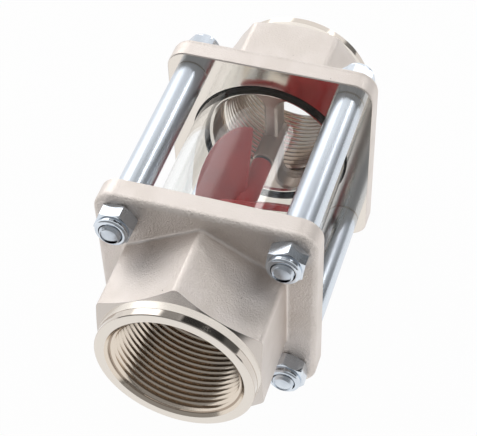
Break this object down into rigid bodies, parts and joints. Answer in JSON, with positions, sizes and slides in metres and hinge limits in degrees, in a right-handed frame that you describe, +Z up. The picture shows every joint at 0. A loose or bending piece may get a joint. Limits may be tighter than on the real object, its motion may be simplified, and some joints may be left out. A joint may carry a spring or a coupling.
{
  "type": "impeller flow indicator",
  "caption": "In-line flow indicator: a sight glass held by tie rods between square flanges with hexagonal threaded ports, and a red pitched-vane impeller that spins inside it.",
  "frame": {"origin": "on the flow axis, midway between the two end faces", "axes": "+X along the flow axis from the inlet to the outlet, +Z up; the part lies on one flat side of its two square flanges"},
  "size_m": [0.157, 0.08, 0.08],
  "materials": {
    "nickel_plated_brass": "satin nickel plate, cast outside and machined at the ports and seats",
    "clear_glass": "clear polished glass",
    "black_rubber": "matt",
    "red_plastic": "moulded, half gloss",
    "stainless_steel": "ground",
    "bearing_plastic": "smooth",
    "zinc_plated_steel": "bright bluish zinc plate",
    "insert_nylon": "smooth"
  },
  "bodies": {
    "housing": {"inlet_body": "nickel_plated_brass", "outlet_body": "nickel_plated_brass", "sight_glass": "clear_glass", "inlet_seal": "black_rubber", "outlet_seal": "black_rubber", "inlet_bush": "bearing_plastic", "outlet_bush": "bearing_plastic", "tie_rod_1": "zinc_plated_steel", "tie_rod_2": "zinc_plated_steel", "tie_rod_3": "zinc_plated_steel", "tie_rod_4": "zinc_plated_steel", "inlet_nut_1": "zinc_plated_steel", "inlet_nut_2": "zinc_plated_steel", "inlet_nut_3": "zinc_plated_steel", "inlet_nut_4": "zinc_plated_steel", "outlet_nut_1": "zinc_plated_steel", "outlet_nut_2": "zinc_plated_steel", "outlet_nut_3": "zinc_plated_steel", "outlet_nut_4": "zinc_plated_steel", "inlet_nut_insert_1": "insert_nylon", "inlet_nut_insert_2": "insert_nylon", "inlet_nut_insert_3": "insert_nylon", "inlet_nut_insert_4": "insert_nylon", "outlet_nut_insert_1": "insert_nylon", "outlet_nut_insert_2": "insert_nylon", "outlet_nut_insert_3": "insert_nylon", "outlet_nut_insert_4": "insert_nylon"},
    "rotor": {"impeller": "red_plastic", "impeller_shaft": "stainless_steel"}
  },
  "joints": [
    {"name": "impeller_spin", "type": "hinge", "parent": "housing", "child": "rotor", "pos_m": [0, 0, 0], "axis": [1, 0, 0], "continuous": true}
  ]
}
